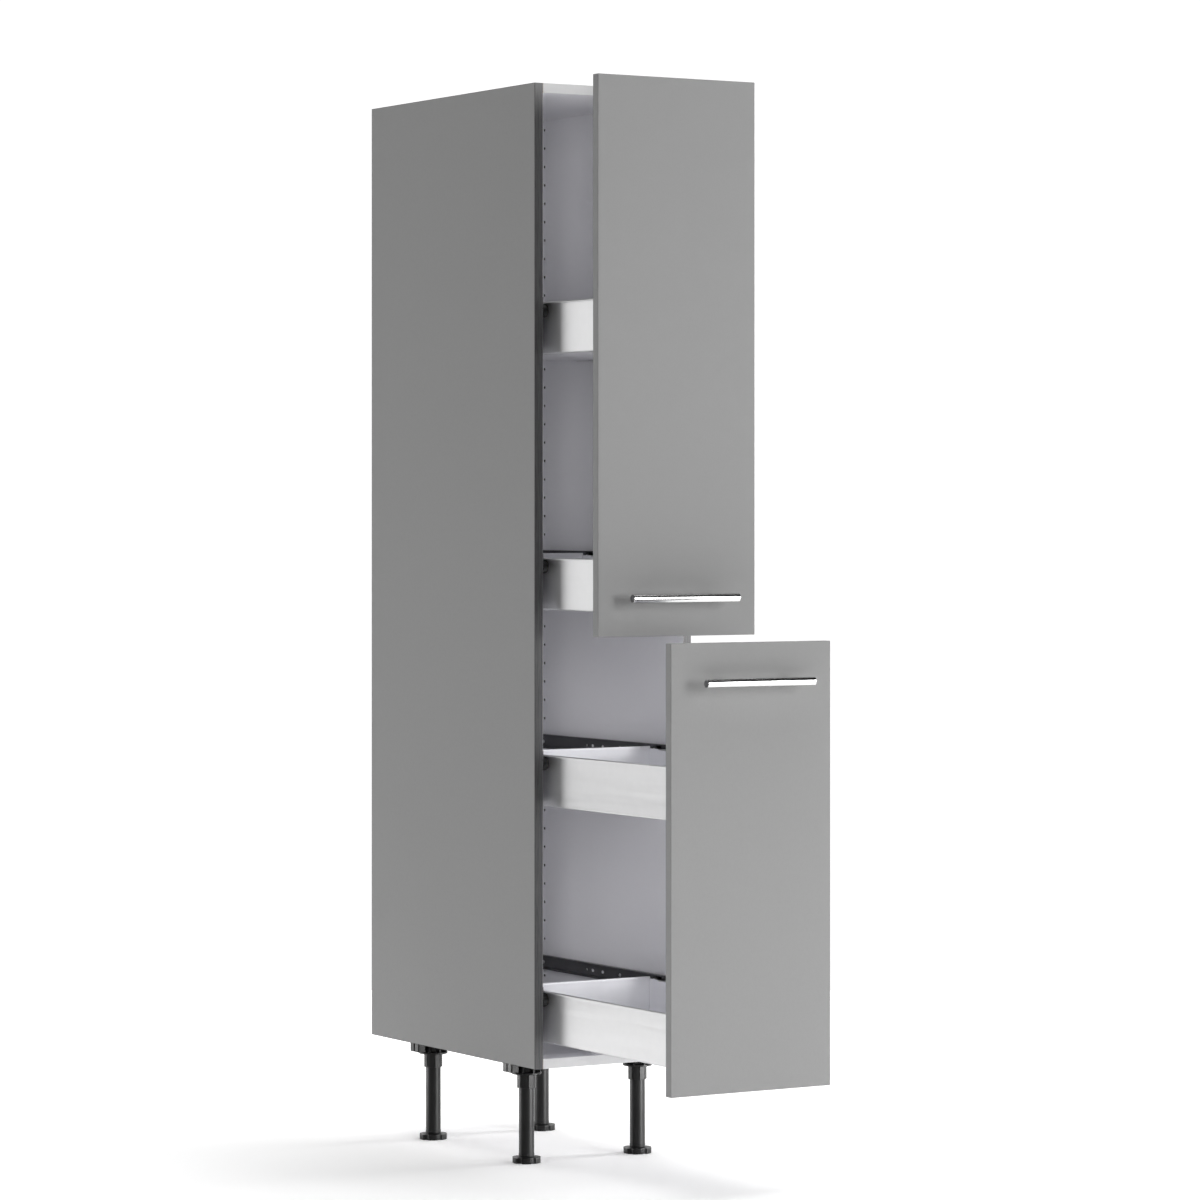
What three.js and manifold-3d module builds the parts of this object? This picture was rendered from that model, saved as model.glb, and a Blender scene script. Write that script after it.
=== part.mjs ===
// A tall, narrow pantry cabinet with two pull-out fronts, one above the other.
// Each front carries two steel trays, which run on roller runners between the side panels.
// Millimetres, +Z up. The fronts face -Y. The origin is on the floor, under the middle of the
// whole object. Inside the groups below, y = 0 is the front plane of the carcass.
// Each pull-out is modelled shut and its group is then moved out by the distance in PULL_OUTS.

import * as THREE from "three";
import { mergeVertices } from "three/addons/utils/BufferGeometryUtils.js";
import Module from "manifold-3d";

const wasm = await Module();
wasm.setup();

// ---------------------------------------------------------------- driving dimensions
const WIDTH = 300;
const DEPTH = 560; // of the side panels
const CARCASS_HEIGHT = 1600;
const FOOT_HEIGHT = 166; // floor to the underside of the carcass
const BOARD = 16; // thickness of panels, boards and fronts
const GAP = 0.3; // between pieces that touch

const BACK_THICKNESS = 3;
const BACK_INSET = 13; // from the rear edges to the back panel
const GROOVE_DEPTH = 7; // of the groove that holds the back panel

const FRONT_WIDTH = 296;
const FRONT_GAP = 2; // from the carcass to a shut front
const UPPER_FRONT = { bottom: 871.5, height: 893 };
const LOWER_FRONT = { bottom: 167.5, height: 700 };

const HANDLE = { length: 200, radius: 7, reach: 26, postSpacing: 128, postRadius: 4.5 };

// One pull-out per front: how far it stands out, its front, its handle's height, and its trays'
// rim heights with the number in each tray's name, counted from the top of the cabinet.
const PULL_OUTS = [
  {
    name: "upper",
    out: 178,
    front: UPPER_FRONT,
    handleHeight: UPPER_FRONT.bottom + 61,
    trays: [[1, 1411.4], [2, 995.4]],
  },
  {
    name: "lower",
    out: 396,
    front: LOWER_FRONT,
    handleHeight: LOWER_FRONT.bottom + LOWER_FRONT.height - 62,
    trays: [[3, 675.4], [4, 291.4]],
  },
];

const TRAY = {
  halfWidth: 121, // to the outer face of a side
  rear: 480,
  height: 85,
  sheet: 1.2,
  rimWidth: 6,
  rimHeight: 3,
  rimRear: 452, // the rim stops here, ahead of the rear roller
  baseFlange: 12,
  rearRise: 4, // of the rear wall above the rim
};

const RAIL = {
  front: 2,
  length: 500,
  sheet: 1.5,
  flange: 11,
  above: 7.4, // top edge above the tray's rim
  below: 16.6, // bottom edge below the tray's rim
  topFlangeFront: 45,
  bottomFlangeFront: 32,
  lip: 3, // the end stop, bent down from the top flange
  earLength: 22,
  earBelow: 25.5,
};

const PIN_RADIUS = 3;
const ROLLER_BORE = 3.2;
const FRONT_ROLLER = { radius: 11, depth: 12.5, below: 14.3, inner: 122.5, outer: 131.7 };
const REAR_ROLLER = { radius: 10, depth: 466, below: 4.4, inner: 121.6, outer: 130.6 };

const FOOT = {
  across: 107, // from the middle plane
  depths: { front: 100, rear: 417 },
  plateRadius: 24.5,
  plateThickness: 3,
  flangeBottom: 146, // of the lower flange, joined to the plate by ribs
  ribs: 8,
  ribThickness: 2,
  socketRadius: 15.5,
  socketBottom: 123,
  tubeRadius: 13,
  tubeBore: 9.9,
  stemRadius: 9.6,
  stemTop: 60,
  baseHeight: 10,
  baseRadius: 24,
  notchDepth: 3,
  lobes: 6,
};
const LUG = { inner: 131, outer: 144, depth: 30, height: 15 }; // under the side panel

const FRONTMOST = Math.max(...PULL_OUTS.map((p) => p.out)) + FRONT_GAP + BOARD + HANDLE.reach
  + HANDLE.radius;
const CENTRE_DEPTH = (DEPTH - FRONTMOST) / 2; // middle of the whole, behind the carcass front

const HALF = WIDTH / 2;
const TOP = FOOT_HEIGHT + CARCASS_HEIGHT;
const INNER = HALF - BOARD; // inner face of a side panel
const SIDES = { left: -1, right: 1 };

// ---------------------------------------------------------------- materials
const painted = (color, roughness, metalness = 0) =>
  new THREE.MeshStandardMaterial({ color, roughness, metalness });

const CARCASS_GREY = painted(0x8e8e90, 0.55);
const BOARD_WHITE = painted(0xd6d6d6, 0.5);
const FRONT_GREY = painted(0x9d9d9d, 0.5);
const TRAY_STEEL = painted(0xdcdcdd, 0.25);
const RAIL_STEEL = painted(0x3c3c3f, 0.4, 0.2);
const ROLLER_PLASTIC = painted(0x1b1b1c, 0.5);
const FOOT_PLASTIC = painted(0x161617, 0.3);
const HANDLE_STEEL = painted(0xc9c9c9, 0.25, 1);

// ---------------------------------------------------------------- solids
function solid(geometry) {
  geometry.deleteAttribute("normal");
  geometry.deleteAttribute("uv");
  const merged = mergeVertices(geometry, 1e-3);
  return new wasm.Manifold(new wasm.Mesh({
    numProp: 3,
    vertProperties: new Float32Array(merged.attributes.position.array),
    triVerts: new Uint32Array(merged.index.array),
  }));
}

// A box between two values on each axis, given in either order.
function block([x0, x1], [y0, y1], [z0, z1]) {
  const size = [x1 - x0, y1 - y0, z1 - z0].map(Math.abs);
  const box = new THREE.BoxGeometry(...size);
  return solid(box.translate((x0 + x1) / 2, (y0 + y1) / 2, (z0 + z1) / 2));
}

// A cylinder along x, y or z, between two values on that axis.
function rod(axis, radius, [from, to], [x, y, z], sides = 24) {
  const geometry = new THREE.CylinderGeometry(radius, radius, Math.abs(to - from), sides);
  if (axis === "x") geometry.rotateZ(-Math.PI / 2);
  if (axis === "z") geometry.rotateX(Math.PI / 2);
  const middle = { x, y, z, [axis]: (from + to) / 2 };
  return solid(geometry.translate(middle.x, middle.y, middle.z));
}

// An outline in the y-z plane, pushed along x.
function extrudedAcross(points, [x0, x1]) {
  const outline = new THREE.Shape(points.map(([y, z]) => new THREE.Vector2(y, z)));
  const geometry = new THREE.ExtrudeGeometry(outline, { depth: x1 - x0, bevelEnabled: false });
  // (outline x, outline y, push) becomes (y, z, x)
  geometry.rotateX(Math.PI / 2).rotateZ(Math.PI / 2);
  return solid(geometry.translate(x0, 0, 0));
}

function piece(name, shape, material) {
  const made = shape.getMesh();
  const indexed = new THREE.BufferGeometry();
  indexed.setAttribute("position", new THREE.BufferAttribute(made.vertProperties, 3));
  indexed.setIndex(new THREE.BufferAttribute(made.triVerts, 1));
  const geometry = indexed.toNonIndexed();
  geometry.computeVertexNormals();
  const mesh = new THREE.Mesh(geometry, material);
  mesh.name = name;
  return mesh;
}

// ---------------------------------------------------------------- carcass
const BACK_FRONT = DEPTH - BACK_INSET - BACK_THICKNESS; // front face of the back panel

function sidePanel(side) {
  const panel = block([side * INNER, side * HALF], [0, DEPTH], [FOOT_HEIGHT, TOP]);
  const groove = block(
    [side * (INNER - 1), side * (INNER + GROOVE_DEPTH)],
    [BACK_FRONT - GAP, BACK_FRONT + BACK_THICKNESS + GAP],
    [FOOT_HEIGHT - 1, TOP + 1],
  );
  return panel.subtract(groove);
}

function crossBoard(bottom) {
  const reach = INNER - GAP;
  return block([-reach, reach], [0, BACK_FRONT - GAP], [bottom, bottom + BOARD]);
}

function backPanel() {
  const reach = INNER + GROOVE_DEPTH - GAP;
  const rear = BACK_FRONT + BACK_THICKNESS;
  return block([-reach, reach], [BACK_FRONT, rear], [FOOT_HEIGHT + 1, TOP - 1]);
}

// ---------------------------------------------------------------- feet
function footSocket(side, depth) {
  const top = FOOT_HEIGHT - GAP;
  const x = side * FOOT.across;
  const centre = [x, depth, 0];
  const plateBottom = top - FOOT.plateThickness;
  const flangeTop = FOOT.flangeBottom + FOOT.plateThickness;
  let housing = rod("z", FOOT.plateRadius, [plateBottom, top], centre, 40)
    .add(rod("z", FOOT.plateRadius, [FOOT.flangeBottom, flangeTop], centre, 40));
  for (let i = 0; i < FOOT.ribs; i++) {
    const reach = [FOOT.tubeRadius + 1, FOOT.plateRadius - 0.5];
    const thickness = [-FOOT.ribThickness / 2, FOOT.ribThickness / 2];
    const rib = block(reach, thickness, [FOOT.flangeBottom + 1, plateBottom + 1]);
    housing = housing.add(rib.rotate([0, 0, (i * 360) / FOOT.ribs]).translate([x, depth, 0]));
  }
  const ring = rod("z", FOOT.socketRadius, [FOOT.socketBottom, plateBottom + 1], centre, 28);
  const bore = rod("z", FOOT.tubeRadius + GAP, [FOOT.socketBottom - 1, plateBottom], centre, 28);
  const lug = block(
    [side * LUG.inner, side * LUG.outer],
    [depth - LUG.depth / 2, depth + LUG.depth / 2],
    [top - LUG.height, top],
  );
  return housing.add(ring).add(lug).subtract(bore);
}

function footTube(side, depth) {
  const centre = [side * FOOT.across, depth, 0];
  const bottom = FOOT.baseHeight + GAP;
  const top = FOOT_HEIGHT - GAP - FOOT.plateThickness - GAP;
  const outer = rod("z", FOOT.tubeRadius, [bottom, top], centre, 28);
  return outer.subtract(rod("z", FOOT.tubeBore, [bottom - 1, top + 1], centre, 28));
}

// The lobed base that turns on the floor, with the stem that screws into the tube.
function footAdjuster(side, depth) {
  const steps = 96;
  const outline = new THREE.Shape();
  for (let i = 0; i < steps; i++) {
    const angle = (i / steps) * 2 * Math.PI;
    const notch = (1 - Math.tanh(4 * (Math.cos(FOOT.lobes * angle) + 0.6))) / 2;
    const radius = FOOT.baseRadius - FOOT.notchDepth * notch;
    const point = [radius * Math.cos(angle), radius * Math.sin(angle)];
    if (i === 0) outline.moveTo(...point);
    else outline.lineTo(...point);
  }
  const x = side * FOOT.across;
  const disc = new THREE.ExtrudeGeometry(outline, { depth: FOOT.baseHeight, bevelEnabled: false });
  const base = solid(disc.translate(x, depth, 0));
  const stem = rod("z", FOOT.stemRadius, [FOOT.baseHeight - 1, FOOT.stemTop], [x, depth, 0], 24);
  return base.add(stem);
}

// ---------------------------------------------------------------- runners
// A channel screwed to the side panel, with the pin of the front roller.
function runnerRail(side, rim) {
  const outer = INNER - GAP;
  const web = [side * outer, side * (outer - RAIL.sheet)];
  const flange = [side * outer, side * (outer - RAIL.flange)];
  const rear = RAIL.front + RAIL.length;
  const top = rim + RAIL.above;
  const bottom = rim - RAIL.below;
  const lipLength = [RAIL.topFlangeFront, RAIL.topFlangeFront + RAIL.sheet];
  const pinEnd = FRONT_ROLLER.inner - 0.4;
  const pinCentre = [0, FRONT_ROLLER.depth, rim - FRONT_ROLLER.below];
  return block(web, [RAIL.front, rear], [bottom, top])
    .add(block(flange, [RAIL.topFlangeFront, rear], [top - RAIL.sheet, top]))
    .add(block(flange, lipLength, [top - RAIL.sheet - RAIL.lip, top]))
    .add(block(flange, [RAIL.bottomFlangeFront, rear], [bottom, bottom + RAIL.sheet]))
    .add(block(web, [RAIL.front, RAIL.front + RAIL.earLength], [rim - RAIL.earBelow, bottom + 1]))
    .add(rod("x", PIN_RADIUS, [side * (outer - 1), side * pinEnd], pinCentre, 16));
}

function roller(side, rim, { radius, depth, below, inner, outer }) {
  const centre = [0, depth, rim - below];
  const wheel = rod("x", radius, [side * inner, side * outer], centre, 28);
  return wheel.subtract(rod("x", ROLLER_BORE, [side * (inner - 1), side * (outer + 1)], centre, 16));
}

// ---------------------------------------------------------------- pull-outs
const TRAY_FRONT = -FRONT_GAP + GAP;

// A bent steel side: the wall, the rim that rides on the front roller, the flange under the pan,
// and the pin of the rear roller.
function traySide(side, rim) {
  const wall = [side * TRAY.halfWidth, side * (TRAY.halfWidth - TRAY.sheet)];
  const rimReach = [side * (TRAY.halfWidth - TRAY.sheet), side * (TRAY.halfWidth + TRAY.rimWidth)];
  const baseReach = [side * TRAY.halfWidth, side * (TRAY.halfWidth - TRAY.baseFlange)];
  const bottom = rim - TRAY.height;
  const pinEnd = REAR_ROLLER.outer + 0.6;
  const pinCentre = [0, REAR_ROLLER.depth, rim - REAR_ROLLER.below];
  return block(wall, [TRAY_FRONT, TRAY.rear], [bottom, rim])
    .add(block(rimReach, [TRAY_FRONT, TRAY.rimRear], [rim - TRAY.rimHeight, rim]))
    .add(block(baseReach, [TRAY_FRONT, TRAY.rear], [bottom, bottom + TRAY.sheet]))
    .add(rod("x", PIN_RADIUS, [side * (TRAY.halfWidth - 0.5), side * pinEnd], pinCentre, 16));
}

// One folded sheet: the tray's front wall, floor and rear wall.
function trayPan(rim) {
  const floor = rim - TRAY.height + TRAY.sheet + GAP;
  const rearTop = rim + TRAY.rearRise;
  const reach = TRAY.halfWidth - TRAY.sheet - GAP;
  const outline = [
    [TRAY_FRONT, floor],
    [TRAY.rear, floor],
    [TRAY.rear, rearTop],
    [TRAY.rear - TRAY.sheet, rearTop],
    [TRAY.rear - TRAY.sheet, floor + TRAY.sheet],
    [TRAY_FRONT + TRAY.sheet, floor + TRAY.sheet],
    [TRAY_FRONT + TRAY.sheet, rim],
    [TRAY_FRONT, rim],
  ];
  return extrudedAcross(outline, [-reach, reach]);
}

function frontPanel({ bottom, height }) {
  const half = FRONT_WIDTH / 2;
  return block([-half, half], [-FRONT_GAP - BOARD, -FRONT_GAP], [bottom, bottom + height]);
}

function handle(height) {
  const face = -FRONT_GAP - BOARD;
  const barDepth = face - HANDLE.reach;
  const half = HANDLE.length / 2;
  let shape = rod("x", HANDLE.radius, [-half, half], [0, barDepth, height], 24);
  for (const side of Object.values(SIDES)) {
    const centre = [(side * HANDLE.postSpacing) / 2, 0, height];
    shape = shape.add(rod("y", HANDLE.postRadius, [barDepth, face - GAP], centre, 20));
  }
  return shape;
}

// ---------------------------------------------------------------- assembly
const cabinet = new THREE.Group();
cabinet.position.y = -CENTRE_DEPTH;

const carcass = new THREE.Group();
cabinet.add(carcass);
carcass.add(piece("bottom_board", crossBoard(FOOT_HEIGHT), BOARD_WHITE));
carcass.add(piece("top_board", crossBoard(TOP - BOARD), BOARD_WHITE));
carcass.add(piece("back_panel", backPanel(), CARCASS_GREY));

for (const [word, side] of Object.entries(SIDES)) {
  carcass.add(piece(`side_panel_${word}`, sidePanel(side), CARCASS_GREY));
  for (const [place, depth] of Object.entries(FOOT.depths)) {
    carcass.add(piece(`foot_socket_${place}_${word}`, footSocket(side, depth), FOOT_PLASTIC));
    carcass.add(piece(`foot_tube_${place}_${word}`, footTube(side, depth), FOOT_PLASTIC));
    carcass.add(piece(`foot_adjuster_${place}_${word}`, footAdjuster(side, depth), FOOT_PLASTIC));
  }
}

for (const { name, out, front, handleHeight, trays } of PULL_OUTS) {
  const pullOut = new THREE.Group();
  pullOut.position.y = -out;
  cabinet.add(pullOut);
  pullOut.add(piece(`front_${name}`, frontPanel(front), FRONT_GREY));
  pullOut.add(piece(`handle_${name}`, handle(handleHeight), HANDLE_STEEL));
  for (const [number, rim] of trays) {
    pullOut.add(piece(`tray_${number}_pan`, trayPan(rim), TRAY_STEEL));
    for (const [word, side] of Object.entries(SIDES)) {
      const place = `${number}_${word}`;
      const frontRoller = roller(side, rim, FRONT_ROLLER);
      const rearRoller = roller(side, rim, REAR_ROLLER);
      carcass.add(piece(`runner_rail_${place}`, runnerRail(side, rim), RAIL_STEEL));
      carcass.add(piece(`front_roller_${place}`, frontRoller, ROLLER_PLASTIC));
      pullOut.add(piece(`tray_${number}_side_${word}`, traySide(side, rim), TRAY_STEEL));
      pullOut.add(piece(`rear_roller_${place}`, rearRoller, ROLLER_PLASTIC));
    }
  }
}

export default cabinet;
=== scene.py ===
"""A pull-out pantry cabinet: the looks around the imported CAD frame."""

from math import cos, pi, radians, sin, tan, tanh

import bmesh
import bpy
from mathutils import Matrix, Vector


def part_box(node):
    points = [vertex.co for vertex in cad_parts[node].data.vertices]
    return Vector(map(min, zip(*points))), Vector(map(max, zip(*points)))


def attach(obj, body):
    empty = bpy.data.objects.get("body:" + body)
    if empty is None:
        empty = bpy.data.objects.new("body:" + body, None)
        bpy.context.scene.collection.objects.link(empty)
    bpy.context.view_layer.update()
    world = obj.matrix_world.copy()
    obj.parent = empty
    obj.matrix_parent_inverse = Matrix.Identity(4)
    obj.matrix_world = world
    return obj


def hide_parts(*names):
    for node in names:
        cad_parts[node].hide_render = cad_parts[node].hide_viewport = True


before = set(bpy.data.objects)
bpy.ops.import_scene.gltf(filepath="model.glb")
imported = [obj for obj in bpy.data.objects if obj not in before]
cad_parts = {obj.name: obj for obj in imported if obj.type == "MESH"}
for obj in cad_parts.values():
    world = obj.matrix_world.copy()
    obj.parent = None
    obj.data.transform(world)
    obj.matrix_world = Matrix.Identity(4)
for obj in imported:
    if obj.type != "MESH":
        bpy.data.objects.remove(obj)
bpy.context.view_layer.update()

MM = 0.001
SIDES = {"left": -1, "right": 1}
FRONT_OF_TRAY = {1: "upper", 2: "upper", 3: "lower", 4: "lower"}
FEET = [(place, side) for place in ("front", "rear") for side in SIDES]


# ---------------------------------------------------------------- measures from the frame
def low(node):
    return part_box(node)[0]


def high(node):
    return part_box(node)[1]


CARCASS_FRONT = low("side_panel_left").y
CARCASS_BOTTOM = low("side_panel_left").z
CARCASS_TOP = high("side_panel_left").z
PANEL_INNER = low("side_panel_right").x
PANEL_OUTER = high("side_panel_right").x
RIM_BELOW_RAIL = 7.4 * MM  # from a rail's top edge down to its tray's rim


# ---------------------------------------------------------------- material nodes
class Shader:
    """A material with a Principled shader, and short calls for the nodes that feed it."""

    def __init__(self, name, **sockets):
        self.material = bpy.data.materials.new(name)
        self.material.use_nodes = True
        self.tree = self.material.node_tree
        self.shader = self.tree.nodes["Principled BSDF"]
        for socket, value in sockets.items():
            self.shader.inputs[socket.replace("_", " ")].default_value = value
        self.coordinates = self.tree.nodes.new("ShaderNodeTexCoord").outputs["Object"]

    def link(self, source, target):
        self.tree.links.new(source, target)
        return source

    def scaled(self, scale):
        """Object coordinates times a scale on each axis."""
        node = self.tree.nodes.new("ShaderNodeMapping")
        node.inputs["Scale"].default_value = scale
        self.link(self.coordinates, node.inputs["Vector"])
        return node.outputs["Vector"]

    def noise(self, scale, detail=3.0, roughness=0.55):
        """Noise with features about 1 / scale metres long on each axis."""
        scale = scale if isinstance(scale, tuple) else (scale,) * 3
        node = self.tree.nodes.new("ShaderNodeTexNoise")
        node.inputs["Scale"].default_value = 1.0
        node.inputs["Detail"].default_value = detail
        node.inputs["Roughness"].default_value = roughness
        self.link(self.scaled(scale), node.inputs["Vector"])
        return node.outputs["Fac"]

    def cells(self, scale, output="Distance"):
        node = self.tree.nodes.new("ShaderNodeTexVoronoi")
        node.inputs["Scale"].default_value = 1.0
        scale = scale if isinstance(scale, tuple) else (scale,) * 3
        self.link(self.scaled(scale), node.inputs["Vector"])
        return node.outputs[output]

    def spread(self, source, to_low, to_high, from_low=0.3, from_high=0.7):
        """A value between from_low and from_high, stretched to to_low and to_high."""
        node = self.tree.nodes.new("ShaderNodeMapRange")
        for socket, value in (
            ("From Min", from_low),
            ("From Max", from_high),
            ("To Min", to_low),
            ("To Max", to_high),
        ):
            node.inputs[socket].default_value = value
        self.link(source, node.inputs["Value"])
        return node.outputs["Result"]

    def mixed(self, factor, first, second):
        """A colour between first and second. Each is a colour or a node's output."""
        node = self.tree.nodes.new("ShaderNodeMix")
        node.data_type = "RGBA"
        self.link(factor, node.inputs["Factor"])
        for socket, colour in ((node.inputs[6], first), (node.inputs[7], second)):
            if isinstance(colour, tuple):
                socket.default_value = (*colour, 1.0)
            else:
                self.link(colour, socket)
        return node.outputs[2]

    def ramp(self, factor, stops):
        node = self.tree.nodes.new("ShaderNodeValToRGB")
        elements = node.color_ramp.elements
        while len(elements) < len(stops):
            elements.new(0.5)
        for element, (position, colour) in zip(elements, stops):
            element.position = position
            element.color = (*colour, 1.0)
        self.link(factor, node.inputs["Fac"])
        return node.outputs["Color"]

    def bumps(self, *layers):
        """Bump from (height, depth in metres) layers, one on the other."""
        normal = None
        for height, depth in layers:
            node = self.tree.nodes.new("ShaderNodeBump")
            node.inputs["Strength"].default_value = 1.0
            node.inputs["Distance"].default_value = depth
            self.link(height, node.inputs["Height"])
            if normal:
                self.link(normal, node.inputs["Normal"])
            normal = node.outputs["Normal"]
        self.link(normal, self.shader.inputs["Normal"])

    def colour(self, source):
        self.link(source, self.shader.inputs["Base Color"])

    def roughness(self, source):
        self.link(source, self.shader.inputs["Roughness"])


def shades(colour, spread):
    """The colour made darker and lighter by a share."""
    return tuple(c * (1 - spread) for c in colour), tuple(c * (1 + spread) for c in colour)


def melamine(name, colour, grain=0.02, shine=(0.42, 0.52)):
    """Printed board with a fine pearl emboss."""
    s = Shader(name, Specular_IOR_Level=0.45)
    pearl = s.noise(900.0, detail=2.0)
    print_dots = s.noise((420.0, 420.0, 240.0), detail=4.0)
    s.colour(s.mixed(s.spread(print_dots, 0.0, 1.0), *shades(colour, grain)))
    s.roughness(s.spread(s.noise(140.0), *shine))
    s.bumps((pearl, 0.00003), (s.noise(3.0, detail=1.0), 0.0006))
    return s.material


def edge_band(name, colour, shine=(0.38, 0.5)):
    """Plastic strip along a board's edge, with faint lines from the trimming scraper."""
    s = Shader(name, Specular_IOR_Level=0.5)
    lines = s.noise((1600.0, 1600.0, 25.0), detail=2.0)
    s.colour(s.mixed(s.spread(lines, 0.0, 1.0), *shades(colour, 0.02)))
    s.roughness(s.spread(lines, *shine))
    s.bumps((lines, 0.00002))
    return s.material


def raw_chipboard(name):
    """A sawn chipboard edge: pale chips in darker dust and glue."""
    s = Shader(name, Specular_IOR_Level=0.3)
    chips = s.cells((420.0, 420.0, 260.0), "Color")
    to_value = s.tree.nodes.new("ShaderNodeSeparateColor")
    s.link(chips, to_value.inputs["Color"])
    tone = s.ramp(
        to_value.outputs["Red"],
        [(0.0, (0.17, 0.1, 0.05)), (0.4, (0.36, 0.25, 0.14)), (1.0, (0.55, 0.42, 0.27))],
    )
    dust = s.noise(1500.0, detail=4.0)
    s.colour(s.mixed(s.spread(dust, 0.0, 0.6), tone, (0.24, 0.16, 0.09)))
    s.roughness(s.spread(dust, 0.75, 0.95))
    s.bumps((s.cells((420.0, 420.0, 260.0)), 0.0002), (dust, 0.0001))
    return s.material


def hardboard(name):
    """The brown, pressed rear face of a fibre board."""
    s = Shader(name, Specular_IOR_Level=0.35)
    fibres = s.noise((520.0, 520.0, 130.0), detail=6.0, roughness=0.7)
    clouds = s.noise(14.0, detail=3.0)
    brown = s.mixed(s.spread(clouds, 0.0, 1.0), (0.19, 0.105, 0.055), (0.235, 0.14, 0.078))
    flecks = s.spread(fibres, 0.0, 0.7, 0.45, 0.75)
    s.colour(s.mixed(flecks, brown, (0.33, 0.21, 0.12)))
    s.roughness(s.spread(fibres, 0.55, 0.8))
    s.bumps((fibres, 0.00006))
    return s.material


def coated_steel(name, colour, metallic, shine):
    """Silver lacquer on sheet steel: fine orange peel over a sheet that isn't quite flat."""
    s = Shader(name, Metallic=metallic, Specular_IOR_Level=0.5)
    peel = s.noise(350.0, detail=2.0)
    ripples = s.noise((7.0, 3.5, 55.0), detail=1.5)
    s.colour(s.mixed(s.spread(s.noise(60.0), 0.0, 1.0), *shades(colour, 0.012)))
    s.roughness(s.spread(s.noise((40.0, 20.0, 90.0), detail=1.0), *shine, 0.0, 1.0))
    s.bumps((ripples, 0.0004), (peel, 0.000002))
    return s.material


def black_steel(name):
    """Thin black coating on a rolled rail, rubbed a little lighter in patches."""
    s = Shader(name, Specular_IOR_Level=0.5, Metallic=0.15)
    scuffs = s.noise((240.0, 18.0, 240.0), detail=5.0, roughness=0.65)
    rubbed = s.spread(scuffs, 0.0, 1.0, 0.4, 0.8)
    s.colour(s.mixed(rubbed, (0.07, 0.07, 0.074), (0.105, 0.105, 0.112)))
    s.roughness(s.spread(scuffs, 0.3, 0.46))
    s.bumps((s.noise(700.0), 0.00002))
    return s.material


def moulded_plastic(name, colour, shine, grain_depth, specular=0.5):
    """Moulded plastic with a fine eroded grain."""
    s = Shader(name, Specular_IOR_Level=specular)
    grain = s.noise(1300.0, detail=3.0)
    flow = s.noise((60.0, 60.0, 20.0), detail=2.0)
    s.colour(s.mixed(s.spread(flow, 0.0, 1.0), *shades(colour, 0.18)))
    s.roughness(s.spread(flow, *shine))
    s.bumps((grain, grain_depth))
    return s.material


def brushed_steel(name, along):
    """Bright steel with brush lines along one axis: 0 for x, 1 for y, 2 for z."""
    s = Shader(name, Metallic=1.0, Specular_IOR_Level=0.5)
    scale = [2600.0] * 3
    scale[along] = 26.0
    lines = s.noise(tuple(scale), detail=3.0)
    s.colour(s.mixed(s.spread(lines, 0.0, 1.0), (0.7, 0.7, 0.7), (0.76, 0.76, 0.755)))
    s.roughness(s.spread(lines, 0.13, 0.17, 0.0, 1.0))
    s.bumps((lines, 0.000001))
    return s.material


def zinc(name):
    """Zinc-plated screw: bright, a little cloudy."""
    s = Shader(name, Metallic=1.0)
    clouds = s.noise(500.0, detail=4.0)
    s.colour(s.mixed(s.spread(clouds, 0.0, 1.0), (0.5, 0.51, 0.53), (0.68, 0.69, 0.7)))
    s.roughness(s.spread(clouds, 0.25, 0.42))
    s.bumps((clouds, 0.00001))
    return s.material


def soft_clear(name):
    """Milky, slightly translucent bumper."""
    s = Shader(name, Specular_IOR_Level=0.5, Transmission_Weight=0.35, IOR=1.45)
    haze = s.noise(800.0, detail=2.0)
    s.colour(s.mixed(s.spread(haze, 0.0, 1.0), (0.62, 0.63, 0.64), (0.74, 0.75, 0.76)))
    s.roughness(s.spread(haze, 0.3, 0.42))
    s.bumps((haze, 0.00002))
    return s.material


GREY_OUTSIDE = melamine("grey_melamine", (0.333, 0.333, 0.333))
GREY_FRONT = melamine("grey_front", (0.335, 0.335, 0.335), grain=0.015, shine=(0.45, 0.55))
PALE_INSIDE = melamine("pale_melamine", (0.875, 0.87, 0.9), grain=0.01)
GREY_BAND = edge_band("grey_edge_band", (0.3, 0.3, 0.3))
# near-black band on the side panels' front edges: painted shade
SIDE_BAND_PAINTED_SHADE = edge_band("side_edge_band_painted_shade", (0.11, 0.11, 0.112), shine=(0.24, 0.32))
PALE_BAND = edge_band("pale_edge_band", (0.6, 0.6, 0.605))
CHIPBOARD = raw_chipboard("raw_chipboard")
HARDBOARD = hardboard("hardboard")
TRAY_OUTSIDE = coated_steel("tray_coating", (0.76, 0.76, 0.765), 0.85, (0.27, 0.31))
# a lighter, less metallic copy of the tray lacquer for the inner faces and the pans: painted light inside
# the trays
TRAY_INSIDE_PAINTED_LIGHT = coated_steel("tray_inside_painted_light", (0.8, 0.8, 0.83), 0.3, (0.36, 0.44))
RAIL_BLACK = black_steel("rail_coating")
ROLLER_BLACK = moulded_plastic("roller_plastic", (0.014, 0.014, 0.014), (0.4, 0.55), 0.00003)
FOOT_BLACK = moulded_plastic("foot_plastic", (0.006, 0.006, 0.006), (0.32, 0.4), 0.000004, 0.2)
# near-black walls for the shelf-pin holes: painted shade in the holes
HOLE_WALL_PAINTED_SHADE = moulded_plastic("hole_wall_painted_shade", (0.02, 0.019, 0.018), (0.5, 0.6), 0.00002)
CAM_PLASTIC = moulded_plastic("cam_plastic", (0.2, 0.2, 0.205), (0.45, 0.6), 0.00003)
HANDLE_BAR_STEEL = brushed_steel("handle_bar_steel", along=0)
HANDLE_POST_STEEL = brushed_steel("handle_post_steel", along=1)
ZINC = zinc("zinc_plate")
BUMPER = soft_clear("bumper_plastic")


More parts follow.
